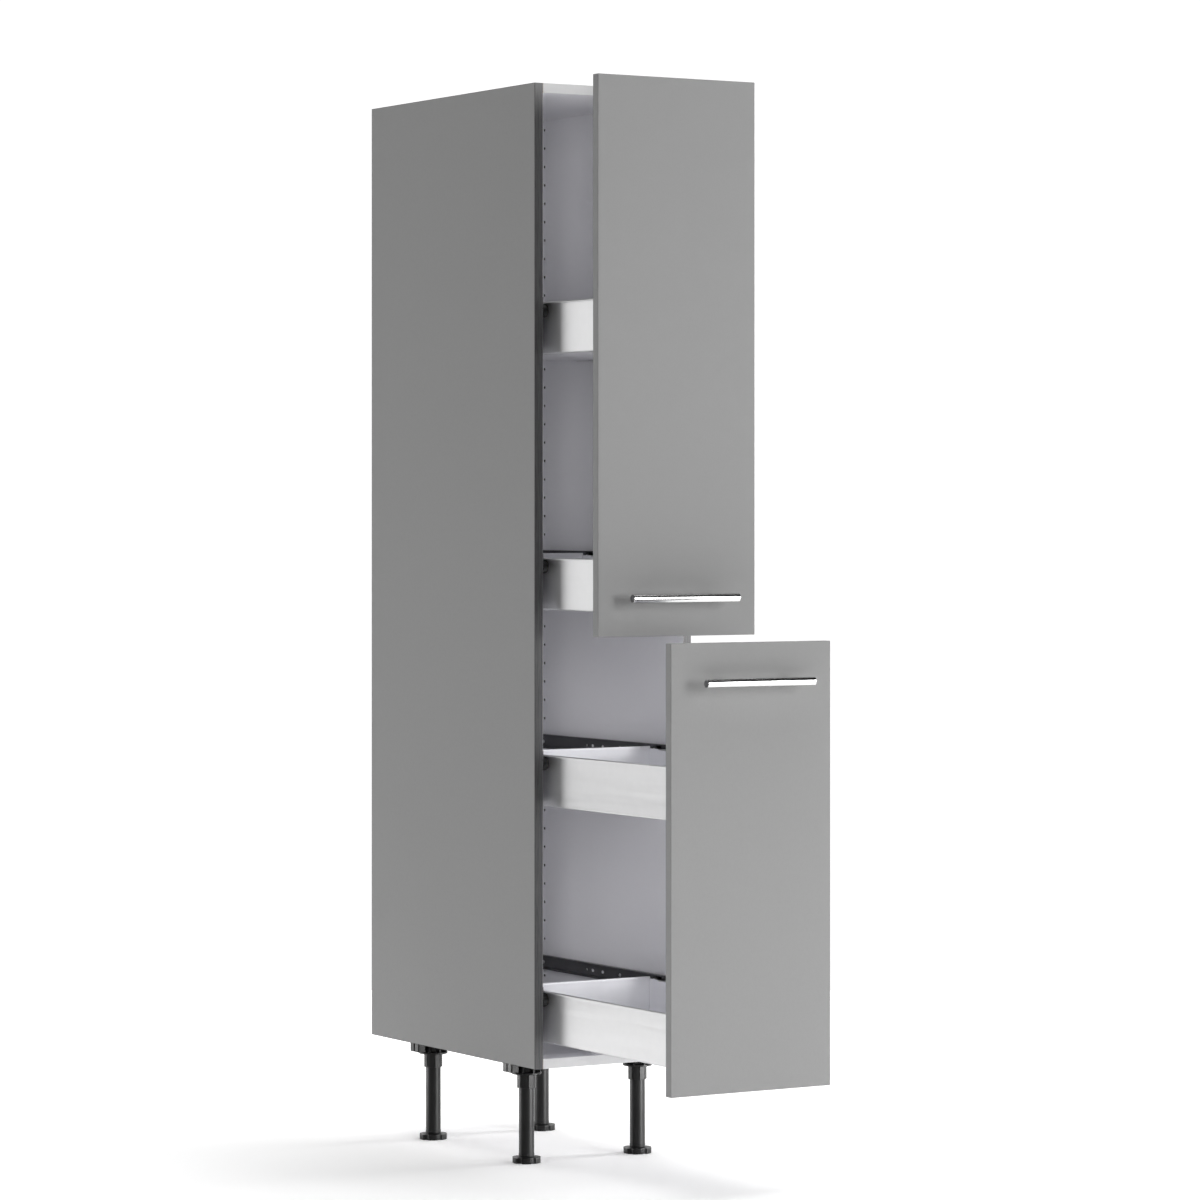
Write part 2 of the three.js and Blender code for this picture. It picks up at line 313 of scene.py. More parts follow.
# ---------------------------------------------------------------- meshes
def piece(name, bm, body, materials, at=(0, 0, 0), mirror=False):
    """Makes the mesh into a finished piece. at is its place, and mirror turns it left for right."""
    if mirror:
        bmesh.ops.scale(bm, vec=(-1, 1, 1), verts=bm.verts)
    bmesh.ops.recalc_face_normals(bm, faces=bm.faces)
    mesh = bpy.data.meshes.new(name)
    bm.to_mesh(mesh)
    bm.free()
    for material in materials:
        mesh.materials.append(material)
    mesh.shade_smooth()
    mesh.set_sharp_from_angle(angle=radians(32))
    obj = bpy.data.objects.new(name, mesh)
    bpy.context.scene.collection.objects.link(obj)
    obj.location = at
    normals = obj.modifiers.new("Flat faces stay flat", "WEIGHTED_NORMAL")
    normals.keep_sharp = True
    normals.weight = 90
    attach(obj, body)
    return obj


def skin(node, bm, body, materials, at=(0, 0, 0), mirror=False):
    """A piece that is shown in place of the CAD node."""
    obj = piece(node + "_skin", bm, body, materials, at, mirror)
    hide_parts(node)
    return obj


def join_rings(bm, rings, material=0, capped=True):
    """One closed skin through rings of points that all have the same count."""
    made = [[bm.verts.new(point) for point in ring] for ring in rings]
    faces = []
    for first, second in zip(made, made[1:]):
        count = len(first)
        for i in range(count):
            j = (i + 1) % count
            faces.append(bm.faces.new((first[i], first[j], second[j], second[i])))
    if capped:
        faces += [bm.faces.new(made[0][::-1]), bm.faces.new(made[-1])]
    for face in faces:
        face.material_index = material
    return made


def rounded_block(bm, corner, opposite, radius, material=0):
    """A box with rounded edges. Returns its faces."""
    corner, opposite = Vector(corner), Vector(opposite)
    size = opposite - corner
    old = set(bm.faces)
    move = Matrix.Translation((corner + opposite) / 2) @ Matrix.Diagonal((*size, 1))
    made = bmesh.ops.create_cube(bm, size=1.0, matrix=move)
    edges = list({e for v in made["verts"] for e in v.link_edges})
    bmesh.ops.bevel(
        bm, geom=edges, offset=radius, segments=3, profile=0.5, affect="EDGES", clamp_overlap=True
    )
    faces = [f for f in bm.faces if f not in old]
    for face in faces:
        face.material_index = material
    return faces


def circle(radius, count, start=0.0):
    return [
        (radius * cos(start + 2 * pi * i / count), radius * sin(start + 2 * pi * i / count))
        for i in range(count)
    ]


AXES = {
    "x": lambda a, b, h: Vector((h, a, b)),
    "y": lambda a, b, h: Vector((a, h, b)),
    "z": lambda a, b, h: Vector((a, b, h)),
}


def turned(bm, profile, axis, centre=(0, 0, 0), count=32, material=0, closed=False):
    """A turned shape from (radius, height) points. closed joins the last point to the first."""
    centre = Vector(centre)
    place = AXES[axis]
    rings = [[centre + place(a, b, h) for a, b in circle(r, count)] for r, h in profile]
    if closed:
        rings.append(rings[0])
        made = [[bm.verts.new(p) for p in ring] for ring in rings[:-1]]
        made.append(made[0])
        for first, second in zip(made, made[1:]):
            for i in range(count):
                j = (i + 1) % count
                face = bm.faces.new((first[i], first[j], second[j], second[i]))
                face.material_index = material
        return
    join_rings(bm, rings, material)


def fillet_path(points, radius, steps=4):
    """The points and left-hand normals along a path whose corners are rounded."""
    points = [Vector(p) for p in points]
    line = []
    for i, point in enumerate(points):
        into = (point - points[i - 1]).normalized() if i else None
        out = (points[i + 1] - point).normalized() if i + 1 < len(points) else None
        if into is None or out is None:
            way = out or into
            line.append((point, Vector((-way.y, way.x))))
            continue
        turn = into.angle_signed(out)  # clockwise is positive
        reach = radius * abs(tan(turn / 2))
        left = Vector((-into.y, into.x))
        centre = point - into * reach + left * (radius if turn < 0 else -radius)
        for k in range(steps + 1):
            spin = Matrix.Rotation(-turn * k / steps, 2)
            start = point - into * reach - centre
            line.append((centre + spin @ start, spin @ left))
    return line


def sheet_outline(path, thickness, radius, steps=4):
    """The closed outline of a bent sheet whose middle follows the path."""
    line = fillet_path(path, radius, steps)
    half = thickness / 2
    return [p + n * half for p, n in line] + [p - n * half for p, n in reversed(line)]


def prism(bm, outline, start, end, axis, soft=0.0, material=0):
    """An outline pushed along an axis. soft pulls the end rings in, to take the light."""
    place = AXES[axis]
    middle = sum((Vector(p) for p in outline), Vector((0, 0))) / len(outline)

    def pulled(amount):
        out = []
        for p in outline:
            away = Vector(p) - middle
            out.append(middle + away * (1 - amount / max(away.length, amount * 2)))
        return out

    if soft:
        step = soft if end > start else -soft
        levels = [(soft, start), (soft * 0.3, start + step * 0.3), (0.0, start + step)]
        levels += [(0.0, end - step), (soft * 0.3, end - step * 0.3), (soft, end)]
    else:
        levels = [(0.0, start), (0.0, end)]
    rings = [[place(*p, h) for p in (pulled(a) if a else outline)] for a, h in levels]
    join_rings(bm, rings, material)


def rounded_rectangle(half_a, half_b, radius, steps=5, centre=(0, 0)):
    points = []
    for quarter, (sa, sb) in enumerate(((1, 1), (-1, 1), (-1, -1), (1, -1))):
        for k in range(steps + 1):
            angle = (quarter + k / steps) * pi / 2
            points.append(
                (
                    centre[0] + sa * (half_a - radius) + radius * cos(angle),
                    centre[1] + sb * (half_b - radius) + radius * sin(angle),
                )
            )
    return points


def cut(bm, cutter):
    """The solid in bm less the solids in cutter, as a new bmesh."""
    objects = []
    for shape in (bm, cutter):
        bmesh.ops.recalc_face_normals(shape, faces=shape.faces)
        mesh = bpy.data.meshes.new("cutting")
        shape.to_mesh(mesh)
        shape.free()
        objects.append(bpy.data.objects.new("cutting", mesh))
        bpy.context.scene.collection.objects.link(objects[-1])
    boolean = objects[0].modifiers.new("cut", "BOOLEAN")
    boolean.operation = "DIFFERENCE"
    boolean.solver = "EXACT"
    boolean.object = objects[1]
    graph = bpy.context.evaluated_depsgraph_get()
    made = bmesh.new()
    made.from_mesh(objects[0].evaluated_get(graph).to_mesh())
    for obj in objects:
        mesh = obj.data
        bpy.data.objects.remove(obj)
        bpy.data.meshes.remove(mesh)
    return made


def screw_head(bm, centre, axis, way, radius=3.6 * MM, height=1.9 * MM, material=0):
    """A domed screw head with a cross recess, facing along way (+1 or -1) on the axis."""
    arm, depth = radius * 0.55, height * 0.6
    place = AXES[axis]
    centre = Vector(centre)
    dome = [(radius, 0.0), (radius, height * 0.25), (radius * 0.88, height * 0.62)]
    dome += [(radius * 0.7, height * 0.88), (radius * 0.62, height)]
    count = 24
    rings = [[centre + place(a, b, h * way) for a, b in circle(r, count)] for r, h in dome]
    # the recess: a cross at the top, sunk as four points
    cross = []
    for i in range(count):
        angle = 2 * pi * i / count
        reach = arm if min(i % 6, 6 - i % 6) <= 0 else arm * 0.36
        cross.append((reach * cos(angle), reach * sin(angle)))
    rings.append([centre + place(a, b, height * way) for a, b in cross])
    rings.append([centre + place(a * 0.8, b * 0.8, (height - depth) * way) for a, b in cross])
    join_rings(bm, rings, material)


# ---------------------------------------------------------------- carcass
PIN_HOLE = {"radius": 2.5 * MM, "depth": 12 * MM, "pitch": 32 * MM}
PIN_COLUMNS = (37 * MM, 453 * MM)  # behind the carcass front


def side_panel(word):
    """A board with two columns of shelf-pin holes and the groove for the back panel."""
    node = f"side_panel_{word}"
    back_low, back_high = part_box("back_panel")
    bm = bmesh.new()
    front, rear = low(node).y, high(node).y
    rounded_block(
        bm, (PANEL_INNER, front, CARCASS_BOTTOM), (PANEL_OUTER, rear, CARCASS_TOP), 0.8 * MM
    )
    cutter = bmesh.new()
    slack = 0.3 * MM
    rounded_block(
        cutter,
        (PANEL_INNER - 5 * MM, back_low.y - slack, CARCASS_BOTTOM - 5 * MM),
        (back_high.x + slack, back_high.y + slack, CARCASS_TOP + 5 * MM),
        0.05 * MM,
    )
    rows = int((CARCASS_TOP - CARCASS_BOTTOM) / PIN_HOLE["pitch"]) - 1
    for column in PIN_COLUMNS:
        for row in range(1, rows + 1):
            centre = (0, front + column, CARCASS_BOTTOM + row * PIN_HOLE["pitch"])
            radius = PIN_HOLE["radius"]
            profile = [
                (radius + 0.4 * MM, PANEL_INNER - 1 * MM),
                (radius + 0.4 * MM, PANEL_INNER),
                (radius, PANEL_INNER + 0.4 * MM),
                (radius, PANEL_INNER + PIN_HOLE["depth"]),
            ]
            turned(cutter, profile, "x", centre, count=16)
    bm = cut(bm, cutter)
    bmesh.ops.recalc_face_normals(bm, faces=bm.faces)
    bm.normal_update()
    for face in bm.faces:
        middle, normal = face.calc_center_median(), face.normal
        if middle.x < PANEL_OUTER - 1 * MM and normal.x < -0.5:
            face.material_index = 1
        elif front + 1 * MM < middle.y < rear - 1 * MM and PANEL_INNER < middle.x < PANEL_OUTER:
            # the walls of the shelf-pin holes take index 4, near black, which is painted shade
            face.material_index = 4 if middle.y < back_low.y - 2 * MM and abs(normal.z) < 0.999 else 3
        elif normal.y < -0.5:
            # front edges take the near-black band, which is painted shade
            face.material_index = 2
        elif normal.y > 0.5:
            face.material_index = 3
    materials = (GREY_OUTSIDE, PALE_INSIDE, SIDE_BAND_PAINTED_SHADE, CHIPBOARD, HOLE_WALL_PAINTED_SHADE)
    return skin(node, bm, "carcass", materials, mirror=word == "left")


def cam_positions(node):
    a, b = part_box(node)
    inset = 34 * MM
    for x in (a.x + inset, b.x - inset):
        for y in (a.y + 60 * MM, b.y - 70 * MM):
            yield x, y


def cross_board(node, cam_side):
    """The top or bottom board: pale faces, a pale band in front, and a cam fitting near each corner."""
    a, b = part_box(node)
    bm = bmesh.new()
    rounded_block(bm, a, b, 0.6 * MM)
    bm.normal_update()
    for face in bm.faces:
        if face.normal.y < -0.5:
            face.material_index = 1
        elif face.normal.y > 0.5 or abs(face.normal.x) > 0.5:
            face.material_index = 2
    board = skin(node, bm, "carcass", (PALE_INSIDE, PALE_BAND, CHIPBOARD))

    cams = bmesh.new()
    face_height = b.z if cam_side > 0 else a.z
    sink = -cam_side * 0.4 * MM
    for x, y in cam_positions(node):
        centre = (x, y, face_height)
        radius = 7.4 * MM
        profile = [(radius, sink * 3), (radius, 0.0), (radius - 0.5 * MM, cam_side * 0.25 * MM)]
        profile += [(radius - 1.2 * MM, cam_side * 0.25 * MM), (radius - 1.5 * MM, sink)]
        turned(cams, profile, "z", centre, count=32)
        for spin in (0, 1):
            half = (4 * MM, 0.9 * MM) if spin else (0.9 * MM, 4 * MM)
            low_corner = (x - half[0], y - half[1], face_height + sink * 0.9)
            high_corner = (x + half[0], y + half[1], face_height + cam_side * 0.15 * MM)
            rounded_block(cams, low_corner, high_corner, 0.1 * MM, 1)
    piece(node + "_cams", cams, "carcass", (CAM_PLASTIC, ZINC))
    return board


def back_panel():
    a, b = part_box("back_panel")
    bm = bmesh.new()
    rounded_block(bm, a, b, 0.2 * MM)
    bm.normal_update()
    for face in bm.faces:
        if face.normal.y > -0.5:
            face.material_index = 1
    return skin("back_panel", bm, "carcass", (PALE_INSIDE, HARDBOARD))


# ---------------------------------------------------------------- feet
FOOT_ACROSS = 107 * MM  # from the middle plane
FOOT_LOBES = 6
BASE_RADIUS = 24 * MM
NOTCH_DEPTH = 3 * MM
FOOT_TUBE_RADIUS = 13 * MM
FOOT_TUBE_BORE = 9.9 * MM
SOCKET_RADIUS = 15.5 * MM
PLATE_RADIUS = 24.5 * MM
FLANGE = {"bottom": 19.7 * MM, "top": 16.7 * MM}  # below the top of the socket
LUG = {"inner": 131 * MM, "outer": 144 * MM, "half_depth": 15 * MM, "height": 15 * MM}


def lobed(radius_change, count=96):
    """The foot base's outline, pushed out or in by a distance."""
    points = []
    for i in range(count):
        angle = 2 * pi * i / count
        notch = (1 - tanh(4 * (cos(FOOT_LOBES * angle) + 0.6))) / 2
        radius = BASE_RADIUS - NOTCH_DEPTH * notch + radius_change
        points.append((radius * cos(angle), radius * sin(angle)))
    return points


def foot_adjuster_mesh(height, stem_top):
    """The lobed base, with a threaded stem that runs up inside the tube."""
    bm = bmesh.new()
    levels = [(-0.9, 0.0), (-0.25, 0.25), (0.0, 0.8), (0.0, 8.6), (-0.2, 9.1), (-0.8, 9.3)]
    rings = []
    for change, z in levels:
        rings.append([Vector((a, b, z * MM)) for a, b in lobed(change * MM)])
    for radius, z in ((17.6, 9.3), (17.0, 9.4), (16.4, 9.8), (15.6, 10.0)):
        rings.append([Vector((a, b, z * MM)) for a, b in circle(radius * MM, 96)])
    join_rings(bm, rings)
    # the thread: a helix pressed into the rings of the stem
    pitch, depth, core = 3.0 * MM, 0.9 * MM, 8.7 * MM
    count, rise = 32, 0.5 * MM
    rings, z = [], height - 1 * MM
    while z < stem_top:
        ring = []
        for i in range(count):
            turn = i / count
            phase = (z / pitch - turn) % 1.0
            radius = core + depth * (1 - abs(2 * phase - 1))
            ring.append(Vector((radius * cos(2 * pi * turn), radius * sin(2 * pi * turn), z)))
        rings.append(ring)
        z += rise
    join_rings(bm, rings)
    return bm


def foot_tube_mesh(bottom, top):
    bm = bmesh.new()
    r, bore = FOOT_TUBE_RADIUS, FOOT_TUBE_BORE
    profile = [
        (bore, bottom + 0.6 * MM),
        (bore + 0.5 * MM, bottom),
        (r - 0.7 * MM, bottom),
        (r - 0.2 * MM, bottom + 0.2 * MM),
        (r, bottom + 0.8 * MM),
        (r, bottom + 5.0 * MM),
        (r - 0.35 * MM, bottom + 5.4 * MM),
        (r - 0.35 * MM, top - 0.6 * MM),
        (r - 0.9 * MM, top),
        (bore + 0.4 * MM, top),
        (bore, top - 0.5 * MM),
    ]
    turned(bm, profile, "z", count=48, closed=True)
    return bm


def foot_socket_mesh(side, plate_top, ring_bottom):
    """A plate and a flange joined by ribs, the ring that holds the tube, and the side lug."""
    bm = bmesh.new()
    plate_bottom = plate_top - 3 * MM
    flange_bottom = plate_top - FLANGE["bottom"]
    flange_top = plate_top - FLANGE["top"]
    bore, outer = FOOT_TUBE_RADIUS + 0.3 * MM, SOCKET_RADIUS - 0.8 * MM
    profile = [
        (bore, ring_bottom + 0.7 * MM),
        (bore + 0.4 * MM, ring_bottom),
        (outer - 0.5 * MM, ring_bottom),
        (outer, ring_bottom + 0.5 * MM),
        (outer, flange_bottom - 1.5 * MM),
        (outer + 1.2 * MM, flange_bottom),
        (PLATE_RADIUS - 0.5 * MM, flange_bottom),
        (PLATE_RADIUS, flange_bottom + 0.5 * MM),
        (PLATE_RADIUS, flange_top - 0.5 * MM),
        (PLATE_RADIUS - 0.5 * MM, flange_top),
        (SOCKET_RADIUS, flange_top),
        (SOCKET_RADIUS, plate_bottom),
        (PLATE_RADIUS - 0.5 * MM, plate_bottom),
        (PLATE_RADIUS, plate_bottom + 0.5 * MM),
        (PLATE_RADIUS, plate_top - 0.5 * MM),
        (PLATE_RADIUS - 0.5 * MM, plate_top),
        (bore - 6 * MM, plate_top),
        (bore - 6 * MM, plate_bottom),
        (bore, plate_bottom),
    ]
    turned(bm, profile, "z", count=56, closed=True)
    for eighth in range(8):
        old = set(bm.verts)
        start = (outer, -1 * MM, flange_top - 1 * MM)
        rounded_block(bm, start, (PLATE_RADIUS - 0.6 * MM, 1 * MM, plate_bottom + 1 * MM), 0.2 * MM)
        verts = [v for v in bm.verts if v not in old]
        bmesh.ops.rotate(bm, verts=verts, matrix=Matrix.Rotation(eighth * pi / 4, 3, "Z"))
    for quarter in range(4):
        old = set(bm.verts)
        start = (outer - 1 * MM, -4.5 * MM, ring_bottom + 0.2 * MM)
        rounded_block(bm, start, (SOCKET_RADIUS, 4.5 * MM, flange_bottom + 1 * MM), 0.35 * MM)
        verts = [v for v in bm.verts if v not in old]
        bmesh.ops.rotate(bm, verts=verts, matrix=Matrix.Rotation(quarter * pi / 2, 3, "Z"))
    # the lug, with a groove down its outer face; the foot's own axis is x = 0 here
    inner, outer_x = LUG["inner"] - FOOT_ACROSS, LUG["outer"] - FOOT_ACROSS
    half, groove = LUG["half_depth"], 2.2 * MM
    outline = [(inner, -half), (outer_x - 1.5 * MM, -half), (outer_x, -half + 1.5 * MM)]
    outline += [(outer_x, -groove), (outer_x - 2.5 * MM, -groove + 0.4 * MM)]
    outline += [(outer_x - 2.5 * MM, groove - 0.4 * MM), (outer_x, groove)]
    outline += [(outer_x, half - 1.5 * MM), (outer_x - 1.5 * MM, half), (inner, half)]
    outline = [(side * a, b) for a, b in outline]
    prism(bm, outline, plate_top - LUG["height"], plate_top, "z", soft=0.5 * MM)
    for a, b in circle(20 * MM, 4, start=pi / 8):
        screw_head(bm, (a, b, plate_bottom), "z", -1, radius=3.2 * MM, material=1)
    return bm


def foot(place, word):
    """Makes one foot's three skins and returns them."""
    side = SIDES[word]
    name = f"{place}_{word}"
    adjuster, tube, socket = (f"foot_{part}_{name}" for part in ("adjuster", "tube", "socket"))
    a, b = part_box(tube)
    at = ((a.x + b.x) / 2, (a.y + b.y) / 2, 0)
    base_height = a.z - 0.3 * MM
    stem_top = high(adjuster).z
    foot_materials = (FOOT_BLACK, ZINC)
    bm = foot_adjuster_mesh(base_height, stem_top)
    adjuster_skin = skin(adjuster, bm, adjuster, foot_materials, at)
    bm = foot_tube_mesh(a.z, b.z)
    tube_skin = skin(tube, bm, "carcass", foot_materials, at)
    bm = foot_socket_mesh(side, high(socket).z, low(socket).z)
    socket_skin = skin(socket, bm, "carcass", foot_materials, at)
    return [adjuster_skin, tube_skin, socket_skin]


# ---------------------------------------------------------------- runners
RAIL_SHEET = 1.5 * MM
RAIL_HEIGHT = 24 * MM
RAIL_FLANGE = 11 * MM
FLANGE_FRONTS = {"top": 45 * MM, "bottom": 32 * MM}  # behind the carcass front
EAR_LENGTH = 22 * MM
FRONT_PIN = {"depth": 12.5 * MM, "below_rim": 14.3 * MM}
RAIL_SCREWS = (37 * MM, 197 * MM, 453 * MM)  # behind the carcass front
RAIL_HOLES = (69 * MM, 101 * MM, 307 * MM)
RAIL_SLOTS = (133 * MM, 255 * MM, 288 * MM)
HOLE_LINE = 13 * MM  # below the rail's top edge


def rail_mesh(rim):
    """A right-hand rail: a C channel with its flanges cut back in front, holes, ear and end stop."""
    box_low, box_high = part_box("runner_rail_4_right")
    shift = rim - (box_high.z - RIM_BELOW_RAIL)
    top, bottom = box_high.z + shift, box_high.z + shift - RAIL_HEIGHT
    outer, tip = box_high.x, box_high.x - RAIL_FLANGE
    front, rear = box_low.y, box_high.y
    half = RAIL_SHEET / 2
    bm = bmesh.new()
    path = [(tip, bottom + half), (outer - half, bottom + half)]
    path += [(outer - half, top - half), (tip, top - half)]
    outline = sheet_outline(path, RAIL_SHEET, 1.4 * MM)
    prism(bm, outline, front, rear, "y")
    cutter = bmesh.new()
    inner = outer - RAIL_SHEET
    clear = 3 * MM
    top_cut = CARCASS_FRONT + FLANGE_FRONTS["top"]
    bottom_cut = CARCASS_FRONT + FLANGE_FRONTS["bottom"]
    rounded_block(
        cutter,
        (tip - clear, front - clear, top - clear),
        (inner - 0.02 * MM, top_cut, top + clear),
        0.05 * MM,
    )
    rounded_block(
        cutter,
        (tip - clear, front - clear, bottom - clear),
        (inner - 0.02 * MM, bottom_cut, bottom + clear),
        0.05 * MM,
    )
    hole_height = top - HOLE_LINE
    through = [(2.6 * MM, inner - clear), (2.6 * MM, outer + clear)]
    for depth in RAIL_HOLES:
        turned(cutter, through, "x", (0, CARCASS_FRONT + depth, hole_height), count=20)
    for depth in RAIL_SLOTS:
        centre = (CARCASS_FRONT + depth, hole_height)
        outline = rounded_rectangle(5 * MM, 2.6 * MM, 2.58 * MM, centre=centre)
        prism(cutter, outline, inner - clear, outer + clear, "x")
    bm = cut(bm, cutter)
    # the ear that carries the front roller's pin
    pin_y, pin_z = CARCASS_FRONT + FRONT_PIN["depth"], rim - FRONT_PIN["below_rim"]
    ear = [(front, bottom + 1 * MM), (front, pin_z - 3 * MM)]
    for k in range(9):
        angle = pi + k * pi / 8
        ear.append((pin_y + 10.5 * MM * cos(angle), pin_z - 0.7 * MM + 10.5 * MM * sin(angle)))
    ear += [(front + EAR_LENGTH, pin_z - 3 * MM), (front + EAR_LENGTH, bottom + 1 * MM)]
    prism(bm, ear, inner, outer, "x", soft=0.15 * MM)
    # the end stop, bent down from the top flange
    stop = [(tip, top - 4.4 * MM), (inner - 1.2 * MM, top - 4.4 * MM)]
    stop += [(inner - 1.2 * MM, top - 1 * MM), (tip, top - 1 * MM)]
    prism(bm, stop, top_cut, top_cut + RAIL_SHEET, "y", soft=0.15 * MM)
    # the rivet through the front roller
    pin_end = box_low.x
    head = [(3 * MM, inner + 0.5 * MM), (3 * MM, pin_end + 1.4 * MM), (4.8 * MM, pin_end + 1.3 * MM)]
    head += [(4.8 * MM, pin_end + 0.8 * MM), (4.2 * MM, pin_end + 0.3 * MM), (2.8 * MM, pin_end)]
    turned(bm, head, "x", (0, pin_y, pin_z), count=28, material=1)
    for depth in RAIL_SCREWS:
        centre = (inner, CARCASS_FRONT + depth, hole_height)
        screw_head(bm, centre, "x", -1, radius=3.4 * MM, height=1.6 * MM, material=1)
    return bm


def roller_mesh(radius, start, end):
    """A moulded wheel with a recessed hub on both faces and a rounded tread."""
    bm = bmesh.new()
    bore, hub = 3.2 * MM, 6.0 * MM
    soft = 1.1 * MM

    def face(h, inward):
        """The points of one face, from the bore out to the tread."""
        return [
            (bore, h + inward * 0.9 * MM),
            (hub - 0.4 * MM, h + inward * 0.9 * MM),
            (hub, h + inward * 0.2 * MM),
            (hub + 0.5 * MM, h),
            (radius - soft - 0.9 * MM, h),
            (radius - soft, h + inward * 0.08 * MM),
            (radius - 0.3 * soft, h + inward * 0.3 * soft),
            (radius, h + inward * soft),
        ]

    profile = face(start, 1) + face(end, -1)[::-1]
    turned(bm, profile, "x", count=44, closed=True)
    return bm


def runner(number, word):
    place = f"{number}_{word}"
    rail, front_roller, rear_roller = (
        f"{part}_{place}" for part in ("runner_rail", "front_roller", "rear_roller")
    )
    mirror = word == "left"
    rim = high(rail).z - RIM_BELOW_RAIL
    bm = rail_mesh(rim)
    rail_skin = skin(rail, bm, "carcass", (RAIL_BLACK, ZINC), mirror=mirror)
    for node in (front_roller, rear_roller):
        a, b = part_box(node)
        across = sorted((abs(a.x), abs(b.x)))
        bm = roller_mesh((b.z - a.z) / 2, *across)
        at = (0, (a.y + b.y) / 2, (a.z + b.z) / 2)
        skin(node, bm, node, (ROLLER_BLACK,), at, mirror)
    return rail_skin


# ---------------------------------------------------------------- trays
TRAY_SHEET = 1.2 * MM
TRAY_HALF_WIDTH = 121 * MM
RIM_WIDTH, RIM_HEIGHT = 6 * MM, 3 * MM


def tray_side(number, word):
    """A bent side with a turned-out rim, cut back behind to clear the rear roller."""
    node = f"tray_{number}_side_{word}"
    a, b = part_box(node)
    rail_top = high(f"runner_rail_{number}_{word}").z
    rim, bottom = rail_top - RIM_BELOW_RAIL, a.z
    front, rear = a.y, b.y
    wall = TRAY_HALF_WIDTH - TRAY_SHEET / 2
    half = TRAY_SHEET / 2
    base = [(wall + half - 12 * MM, bottom + half), (wall, bottom + half), (wall, rim - half)]
    rim_path = [(wall + RIM_WIDTH, rim - half), (wall + RIM_WIDTH, rim - RIM_HEIGHT)]
    bend = 2.0 * MM
    bm = bmesh.new()
    cut_back = rear - 28 * MM
    outline = sheet_outline(base + rim_path, TRAY_SHEET, bend, steps=5)
    # the front edge rolls in towards the front panel
    rings = []
    for k in range(5):
        angle = k * pi / 8
        pull = 1.6 * MM * (1 - sin(angle))
        along = front + 1.6 * MM * (1 - cos(angle))
        rings.append([Vector((p.x - pull, along, p.y)) for p in outline])
    rings.append([Vector((p.x, cut_back, p.y)) for p in outline])
    join_rings(bm, rings)
    tail = sheet_outline(base[:-1] + [(wall, rim)], TRAY_SHEET, bend, steps=5)
    prism(bm, tail, cut_back - 0.1 * MM, rear, "y")
    # the rear roller's rivet
    a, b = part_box(f"rear_roller_{number}_{word}")
    centre = (0, (a.y + b.y) / 2, (a.z + b.z) / 2)
    outer = max(abs(a.x), abs(b.x))
    foot_of_rivet = TRAY_HALF_WIDTH + 0.4 * MM
    rivet = [(5.5 * MM, TRAY_HALF_WIDTH - 0.3 * MM), (5.2 * MM, foot_of_rivet)]
    rivet.append((3 * MM, foot_of_rivet + 0.1 * MM))
    rivet += [(3 * MM, outer - 0.9 * MM), (4.8 * MM, outer - 0.8 * MM)]
    rivet += [(4.8 * MM, outer - 0.3 * MM), (4.2 * MM, outer + 0.2 * MM), (2.8 * MM, outer + 0.5 * MM)]
    turned(bm, rivet, "x", centre, count=28, material=1)
    # the inner face takes a rougher, lighter, less metallic copy of the lacquer: painted light inside the
    # tray
    bm.normal_update()
    for face in bm.faces:
        middle = face.calc_center_median()
        on_inner_face = middle.x < wall and bottom + 3 * MM < middle.z < rim - 2 * MM
        if on_inner_face and face.material_index == 0:
            face.material_index = 2
    body = f"pullout_{FRONT_OF_TRAY[number]}"
    materials = (TRAY_OUTSIDE, ZINC, TRAY_INSIDE_PAINTED_LIGHT)
    return skin(node, bm, body, materials, mirror=word == "left")


def tray_pan(number):
    """One folded sheet: front wall, floor and rear wall, with a hem on the rear wall."""
    node = f"tray_{number}_pan"
    a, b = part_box(node)
    rim = high(f"runner_rail_{number}_left").z - RIM_BELOW_RAIL
    half = TRAY_SHEET / 2
    front, rear = a.y + half, b.y - half
    path = [(front, rim), (front, a.z + half), (rear, a.z + half), (rear, b.z - half)]
    path += [(rear - 3.2 * MM, b.z - half), (rear - 3.2 * MM, b.z - 4 * MM)]
    bm = bmesh.new()
    outline = sheet_outline(path, TRAY_SHEET, 1.2 * MM, steps=4)
    rings = [[Vector((x, p.x, p.y)) for p in outline] for x in (a.x, b.x)]
    join_rings(bm, rings)
    for x in (-85 * MM, 85 * MM):
        for z in (a.z + 22 * MM, rim - 22 * MM):
            screw_head(bm, (x, a.y + TRAY_SHEET, z), "y", 1, material=1)
    body = f"pullout_{FRONT_OF_TRAY[number]}"
    return skin(node, bm, body, (TRAY_INSIDE_PAINTED_LIGHT, ZINC))


# ---------------------------------------------------------------- fronts and handles
def front_panel(name):
    node, body = f"front_{name}", f"pullout_{name}"
    a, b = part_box(node)
    bm = bmesh.new()
    rounded_block(bm, a, b, 1.0 * MM)
    bm.normal_update()
    for face in bm.faces:
        if abs(face.normal.y) < 0.98:
            face.material_index = 1
    skin(node, bm, body, (GREY_FRONT, GREY_BAND))

    bumpers = bmesh.new()
    inset = 14 * MM
    for x in (a.x + inset / 2, b.x - inset / 2):
        for z in (a.z + inset, b.z - inset):
            profile = [(4 * MM, 0.0), (4 * MM, 0.4 * MM), (3.4 * MM, 1.1 * MM)]
            profile += [(2.2 * MM, 1.55 * MM), (0.8 * MM, 1.7 * MM)]
            turned(bumpers, profile, "y", (x, b.y, z), count=24)
    piece(node + "_bumpers", bumpers, body, (BUMPER,))


HANDLE_POSTS = (-64 * MM, 64 * MM)
HANDLE_POST_RADIUS = 4.5 * MM


